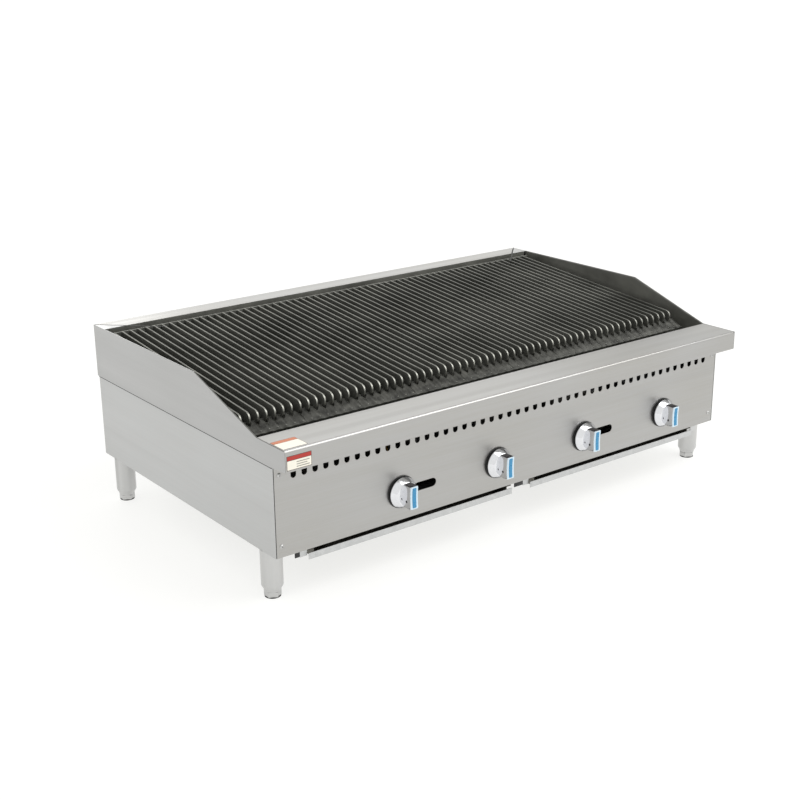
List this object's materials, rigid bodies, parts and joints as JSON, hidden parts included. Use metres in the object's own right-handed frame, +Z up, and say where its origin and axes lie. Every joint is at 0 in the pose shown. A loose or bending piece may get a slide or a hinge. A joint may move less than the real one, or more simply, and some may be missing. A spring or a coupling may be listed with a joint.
{
  "type": "countertop gas charbroiler",
  "caption": "Countertop gas radiant charbroiler: sloping cast grates between steel splashes, front ledge, vented control panel with knobs, pull-out drip trays and adjustable legs.",
  "frame": {"origin": "on the counter, at the centre of the overall plan (bottom centre of the bounding box)", "axes": "+X to the right-hand end seen from the front, +Y to the back, +Z up"},
  "size_m": [1.2192, 0.7512, 0.396],
  "materials": {
    "brushed_stainless": "brushed",
    "satin_stainless": "satin",
    "inner_steel": "dull, heat darkened",
    "cast_iron": "as cast",
    "galvanised_steel": "dull zinc",
    "brass": "machined",
    "black_pipe": "black lacquer",
    "chrome": "bright plated",
    "blue_plastic": "moulded"
  },
  "bodies": {
    "chassis": {"left_side_panel": "brushed_stainless", "right_side_panel": "brushed_stainless", "back_panel": "brushed_stainless", "front_panel": "brushed_stainless", "left_splash": "brushed_stainless", "right_splash": "brushed_stainless", "rear_splash": "brushed_stainless", "front_ledge": "brushed_stainless", "left_liner": "inner_steel", "right_liner": "inner_steel", "rear_liner": "inner_steel", "front_baffle": "inner_steel", "front_frame_angle": "galvanised_steel", "rear_frame_angle": "galvanised_steel", "left_frame_rail": "galvanised_steel", "right_frame_rail": "galvanised_steel", "tray_divider": "galvanised_steel", "gas_manifold": "black_pipe", "gas_inlet": "black_pipe", "radiant_1": "cast_iron", "burner_1": "cast_iron", "gas_valve_1": "brass", "radiant_2": "cast_iron", "burner_2": "cast_iron", "gas_valve_2": "brass", "radiant_3": "cast_iron", "burner_3": "cast_iron", "gas_valve_3": "brass", "radiant_4": "cast_iron", "burner_4": "cast_iron", "gas_valve_4": "brass", "pilot_1": "brass", "pilot_2": "brass", "front_left_leg": "satin_stainless", "front_right_leg": "satin_stainless", "rear_left_leg": "satin_stainless", "rear_right_leg": "satin_stainless"},
    "knob_1_turning": {"knob_1": "chrome", "knob_insert_1": "blue_plastic"},
    "knob_2_turning": {"knob_2": "chrome", "knob_insert_2": "blue_plastic"},
    "knob_3_turning": {"knob_3": "chrome", "knob_insert_3": "blue_plastic"},
    "knob_4_turning": {"knob_4": "chrome", "knob_insert_4": "blue_plastic"},
    "left_tray": {"left_drip_tray": "galvanised_steel"},
    "right_tray": {"right_drip_tray": "galvanised_steel"},
    "grate_1_section": {"grate_1": "cast_iron"},
    "grate_2_section": {"grate_2": "cast_iron"},
    "grate_3_section": {"grate_3": "cast_iron"},
    "grate_4_section": {"grate_4": "cast_iron"},
    "grate_5_section": {"grate_5": "cast_iron"},
    "grate_6_section": {"grate_6": "cast_iron"},
    "grate_7_section": {"grate_7": "cast_iron"},
    "grate_8_section": {"grate_8": "cast_iron"},
    "grate_9_section": {"grate_9": "cast_iron"},
    "front_left_levelling_foot": {"front_left_foot": "satin_stainless"},
    "front_right_levelling_foot": {"front_right_foot": "satin_stainless"},
    "rear_left_levelling_foot": {"rear_left_foot": "satin_stainless"},
    "rear_right_levelling_foot": {"rear_right_foot": "satin_stainless"}
  },
  "joints": [
    {"name": "knob_1_turn", "type": "hinge", "parent": "chassis", "child": "knob_1_turning", "pos_m": [-0.3152, -0.3286, 0.158], "axis": [0, -1, 0], "range_deg": [0, 90]},
    {"name": "knob_2_turn", "type": "hinge", "parent": "chassis", "child": "knob_2_turning", "pos_m": [-0.0668, -0.3286, 0.158], "axis": [0, -1, 0], "range_deg": [0, 90]},
    {"name": "knob_3_turn", "type": "hinge", "parent": "chassis", "child": "knob_3_turning", "pos_m": [0.1816, -0.3286, 0.158], "axis": [0, -1, 0], "range_deg": [0, 90]},
    {"name": "knob_4_turn", "type": "hinge", "parent": "chassis", "child": "knob_4_turning", "pos_m": [0.43, -0.3286, 0.158], "axis": [0, -1, 0], "range_deg": [0, 90]},
    {"name": "left_tray_slide", "type": "slide", "parent": "chassis", "child": "left_tray", "axis": [0, -1, 0], "range_m": [0, 0.6]},
    {"name": "right_tray_slide", "type": "slide", "parent": "chassis", "child": "right_tray", "axis": [0, -1, 0], "range_m": [0, 0.6]},
    {"name": "grate_1_lift", "type": "slide", "parent": "chassis", "child": "grate_1_section", "axis": [0, 0, 1], "range_m": [0, 0.15]},
    {"name": "grate_2_lift", "type": "slide", "parent": "chassis", "child": "grate_2_section", "axis": [0, 0, 1], "range_m": [0, 0.15]},
    {"name": "grate_3_lift", "type": "slide", "parent": "chassis", "child": "grate_3_section", "axis": [0, 0, 1], "range_m": [0, 0.15]},
    {"name": "grate_4_lift", "type": "slide", "parent": "chassis", "child": "grate_4_section", "axis": [0, 0, 1], "range_m": [0, 0.15]},
    {"name": "grate_5_lift", "type": "slide", "parent": "chassis", "child": "grate_5_section", "axis": [0, 0, 1], "range_m": [0, 0.15]},
    {"name": "grate_6_lift", "type": "slide", "parent": "chassis", "child": "grate_6_section", "axis": [0, 0, 1], "range_m": [0, 0.15]},
    {"name": "grate_7_lift", "type": "slide", "parent": "chassis", "child": "grate_7_section", "axis": [0, 0, 1], "range_m": [0, 0.15]},
    {"name": "grate_8_lift", "type": "slide", "parent": "chassis", "child": "grate_8_section", "axis": [0, 0, 1], "range_m": [0, 0.15]},
    {"name": "grate_9_lift", "type": "slide", "parent": "chassis", "child": "grate_9_section", "axis": [0, 0, 1], "range_m": [0, 0.15]},
    {"name": "front_left_foot_screw", "type": "slide", "parent": "chassis", "child": "front_left_levelling_foot", "axis": [0, 0, -1], "range_m": [0, 0.025]},
    {"name": "front_right_foot_screw", "type": "slide", "parent": "chassis", "child": "front_right_levelling_foot", "axis": [0, 0, -1], "range_m": [0, 0.025]},
    {"name": "rear_left_foot_screw", "type": "slide", "parent": "chassis", "child": "rear_left_levelling_foot", "axis": [0, 0, -1], "range_m": [0, 0.025]},
    {"name": "rear_right_foot_screw", "type": "slide", "parent": "chassis", "child": "rear_right_levelling_foot", "axis": [0, 0, -1], "range_m": [0, 0.025]}
  ]
}
